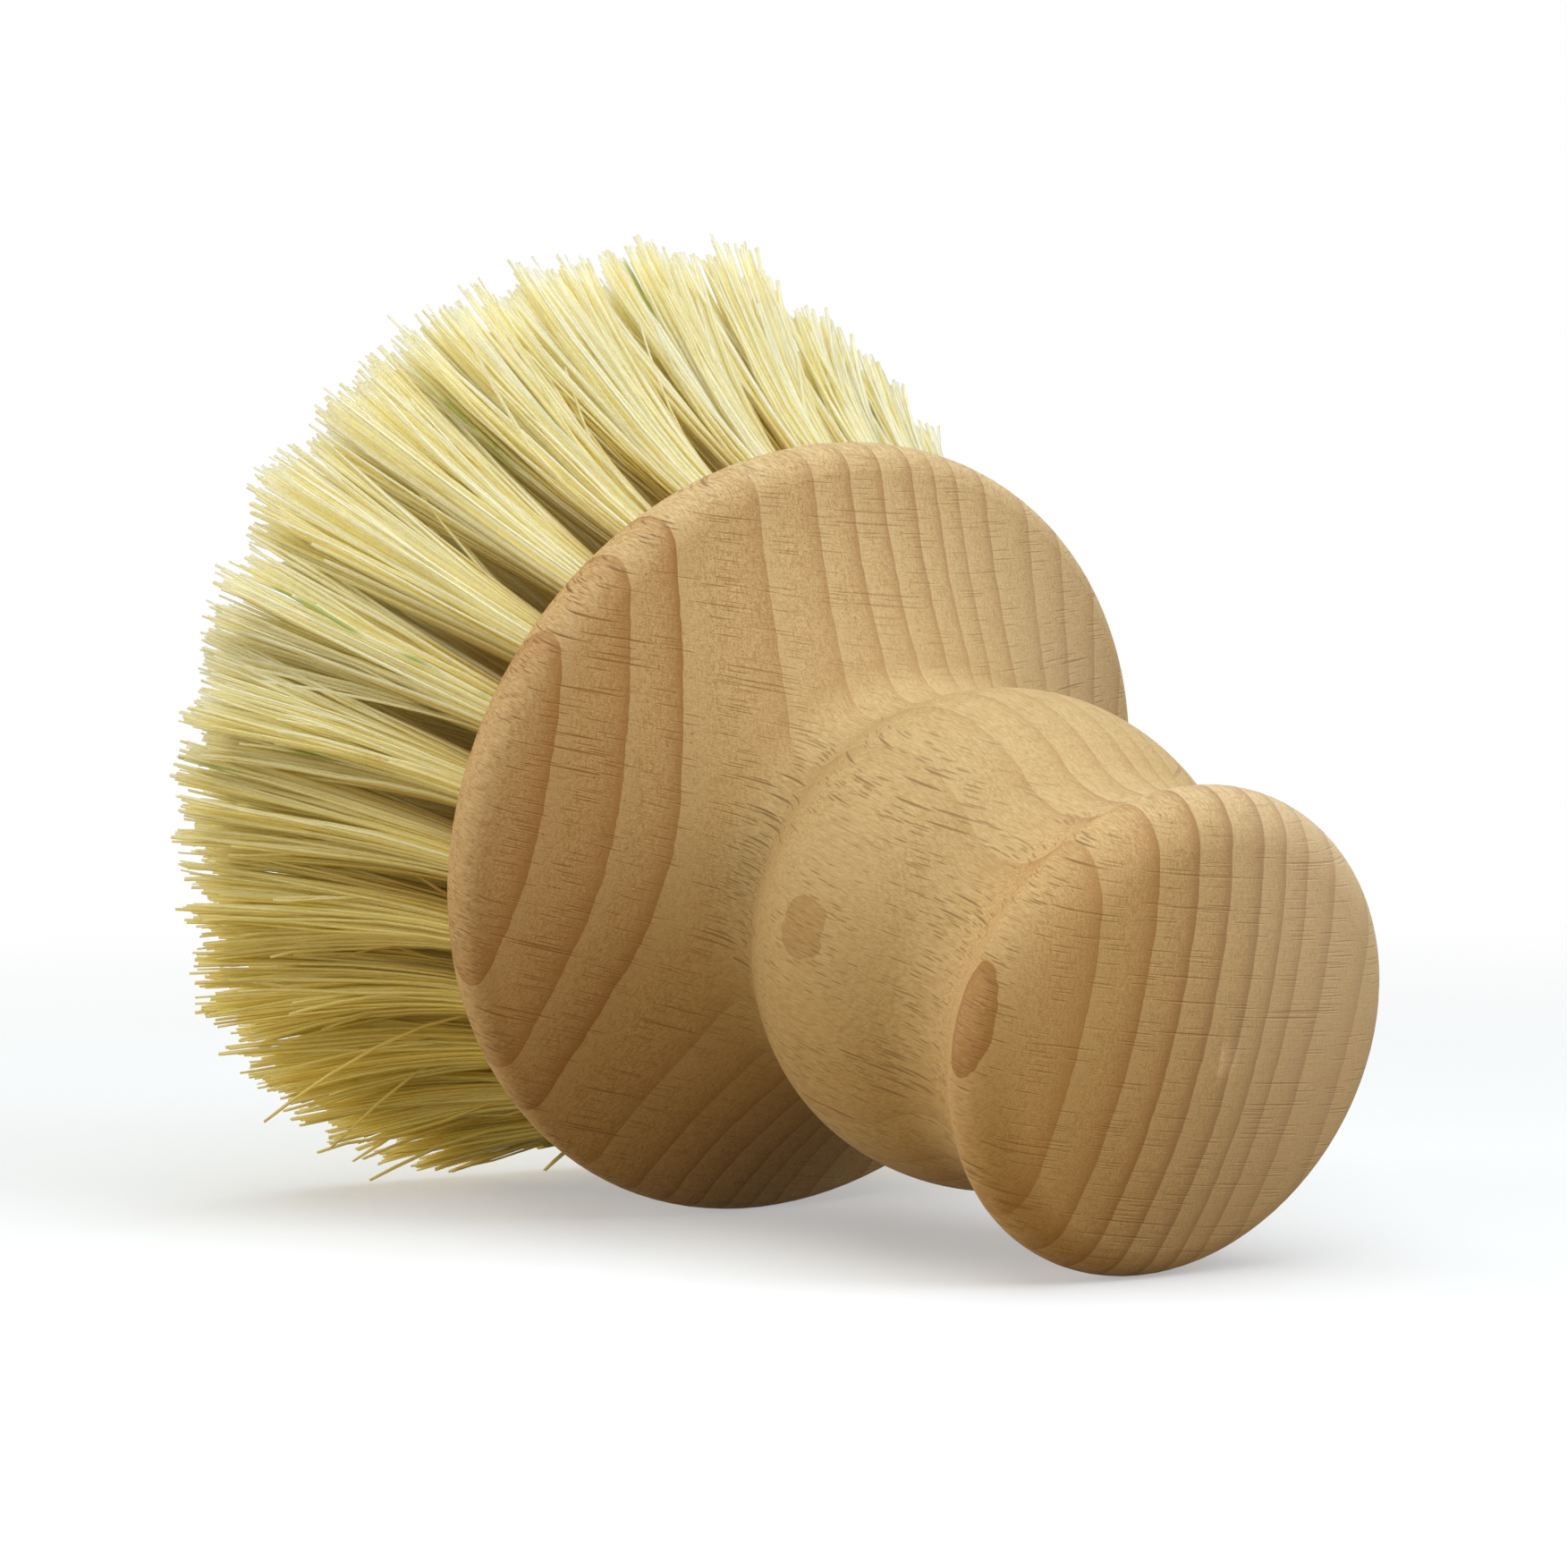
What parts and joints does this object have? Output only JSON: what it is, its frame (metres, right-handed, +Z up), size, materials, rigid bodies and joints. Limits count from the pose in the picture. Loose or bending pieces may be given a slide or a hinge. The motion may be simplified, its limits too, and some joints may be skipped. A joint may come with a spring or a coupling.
{
  "type": "dish brush",
  "caption": "Palm-sized dish brush lying on its side: one turned beech handle with a round head, and splayed tufts of pale plant fibre held by wire staples.",
  "frame": {"origin": "middle of the whole brush's box, on the surface that it lies on", "axes": "+X along the brush from the bristles to the knob, level with the surface; +Z up; the turning axis dips about 15 degrees towards the knob"},
  "size_m": [0.0875, 0.0786, 0.0732],
  "materials": {
    "beech": "bare end grain and side grain, turned and sanded, unoiled",
    "plant_fibre": "stiff pale yellow plant fibre, trimmed to length",
    "staple_wire": "drawn steel wire, inside the holes"
  },
  "bodies": {
    "root": {"handle": "beech", "outer_tuft_01": "plant_fibre", "outer_tuft_02": "plant_fibre", "outer_tuft_03": "plant_fibre", "outer_tuft_04": "plant_fibre", "outer_tuft_05": "plant_fibre", "outer_tuft_06": "plant_fibre", "outer_tuft_07": "plant_fibre", "outer_tuft_08": "plant_fibre", "outer_tuft_09": "plant_fibre", "outer_tuft_10": "plant_fibre", "outer_tuft_11": "plant_fibre", "outer_tuft_12": "plant_fibre", "outer_tuft_13": "plant_fibre", "outer_tuft_14": "plant_fibre", "outer_tuft_15": "plant_fibre", "outer_tuft_16": "plant_fibre", "outer_tuft_17": "plant_fibre", "outer_tuft_18": "plant_fibre", "outer_tuft_19": "plant_fibre", "outer_tuft_20": "plant_fibre", "outer_tuft_21": "plant_fibre", "outer_tuft_22": "plant_fibre", "outer_tuft_23": "plant_fibre", "outer_tuft_24": "plant_fibre", "outer_tuft_25": "plant_fibre", "outer_tuft_26": "plant_fibre", "outer_tuft_27": "plant_fibre", "outer_tuft_28": "plant_fibre", "second_tuft_01": "plant_fibre", "second_tuft_02": "plant_fibre", "second_tuft_03": "plant_fibre", "second_tuft_04": "plant_fibre", "second_tuft_05": "plant_fibre", "second_tuft_06": "plant_fibre", "second_tuft_07": "plant_fibre", "second_tuft_08": "plant_fibre", "second_tuft_09": "plant_fibre", "second_tuft_10": "plant_fibre", "second_tuft_11": "plant_fibre", "second_tuft_12": "plant_fibre", "second_tuft_13": "plant_fibre", "second_tuft_14": "plant_fibre", "second_tuft_15": "plant_fibre", "second_tuft_16": "plant_fibre", "second_tuft_17": "plant_fibre", "second_tuft_18": "plant_fibre", "second_tuft_19": "plant_fibre", "second_tuft_20": "plant_fibre", "third_ring_tufts": "plant_fibre", "fourth_ring_tufts": "plant_fibre", "centre_ring_tufts": "plant_fibre", "outer_ring_staples": "staple_wire", "second_ring_staples": "staple_wire", "third_ring_staples": "staple_wire", "fourth_ring_staples": "staple_wire", "centre_ring_staples": "staple_wire"}
  },
  "joints": []
}
